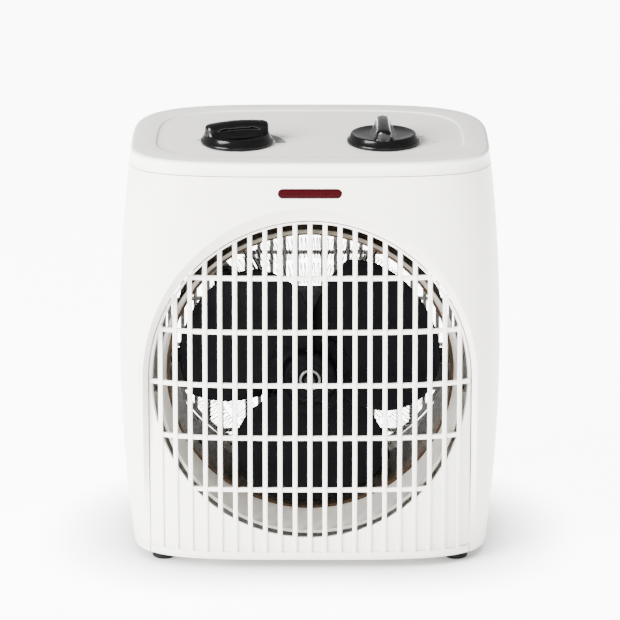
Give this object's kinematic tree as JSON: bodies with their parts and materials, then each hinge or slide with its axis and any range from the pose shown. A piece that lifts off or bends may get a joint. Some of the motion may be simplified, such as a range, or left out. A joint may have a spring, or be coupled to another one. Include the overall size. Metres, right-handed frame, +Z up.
{
  "type": "fan heater",
  "caption": "Table-top electric fan heater: white moulded barrel case, slatted grille, black fan, open-coil element on mica and rotary controls.",
  "frame": {"origin": "middle of the footprint, on the surface that the feet stand on", "axes": "+Z up, -Y out of the front grille, +X to the right of someone who faces the front"},
  "size_m": [0.21, 0.1384, 0.2411],
  "materials": {
    "white_plastic": "moulded white plastic, fine satin",
    "duct_plastic": "moulded off-white plastic, satin",
    "gloss_black": "polished black plastic",
    "fan_black": "moulded black plastic, satin",
    "red_lens": "dark red translucent plastic",
    "lamp_glass": "small neon lamp, clear glass",
    "rubber": "matt black rubber",
    "mica": "pressed mica sheet, brown, faintly glossy",
    "resistance_wire": "oxidised resistance wire",
    "steel": "zinc-plated steel",
    "lamination": "varnished steel laminations",
    "winding": "copper winding under dark blue tape",
    "ceramic": "unglazed steatite",
    "control_plastic": "black moulded plastic"
  },
  "bodies": {
    "case": {"front_housing": "white_plastic", "rear_housing": "white_plastic", "top_cap": "white_plastic", "front_grille": "white_plastic", "intake_grille": "white_plastic", "lamp_lens": "red_lens", "indicator_lamp": "lamp_glass", "foot_front_left": "rubber", "foot_front_right": "rubber", "foot_rear_left": "rubber", "foot_rear_right": "rubber", "case_screw_lower_left": "steel", "case_screw_lower_right": "steel", "case_screw_upper_left": "steel", "case_screw_upper_right": "steel", "cord_inlet_bush": "control_plastic", "terminal_block": "ceramic", "duct_ring": "duct_plastic", "mica_tube": "mica", "mica_board_1": "mica", "mica_board_2": "mica", "mica_board_3": "mica", "mica_board_4": "mica", "mica_board_5": "mica", "mica_board_6": "mica", "inner_heating_coil": "resistance_wire", "outer_heating_coil": "resistance_wire", "coil_terminal": "ceramic", "thermal_cutout": "control_plastic", "cutout_bracket": "steel", "motor_core": "lamination", "motor_winding": "winding", "front_bearing_bracket": "steel", "rear_bearing_bracket": "steel", "motor_support": "steel", "motor_spacer_left": "steel", "motor_spacer_right": "steel", "motor_screw_left": "steel", "motor_screw_right": "steel", "support_screw_left": "steel", "support_screw_right": "steel", "thermostat_body": "control_plastic", "selector_switch": "control_plastic"},
    "fan_assembly": {"fan": "fan_black", "fan_clip": "steel", "motor_shaft": "steel", "motor_rotor": "lamination"},
    "thermostat_control": {"thermostat_knob": "gloss_black", "thermostat_spindle": "steel"},
    "selector_control": {"selector_knob": "gloss_black", "selector_spindle": "steel"}
  },
  "joints": [
    {"name": "fan_spin", "type": "hinge", "parent": "case", "child": "fan_assembly", "pos_m": [0, -0.043, 0.1046], "axis": [0, -1, 0], "continuous": true},
    {"name": "thermostat_turn", "type": "hinge", "parent": "case", "child": "thermostat_control", "pos_m": [-0.04, -0.016, 0.22899], "axis": [0, -0.0401, 0.9992], "range_deg": [-19, 156]},
    {"name": "selector_turn", "type": "hinge", "parent": "case", "child": "selector_control", "pos_m": [0.04, -0.016, 0.22899], "axis": [0, -0.0401, 0.9992], "range_deg": [-90, 0]}
  ]
}
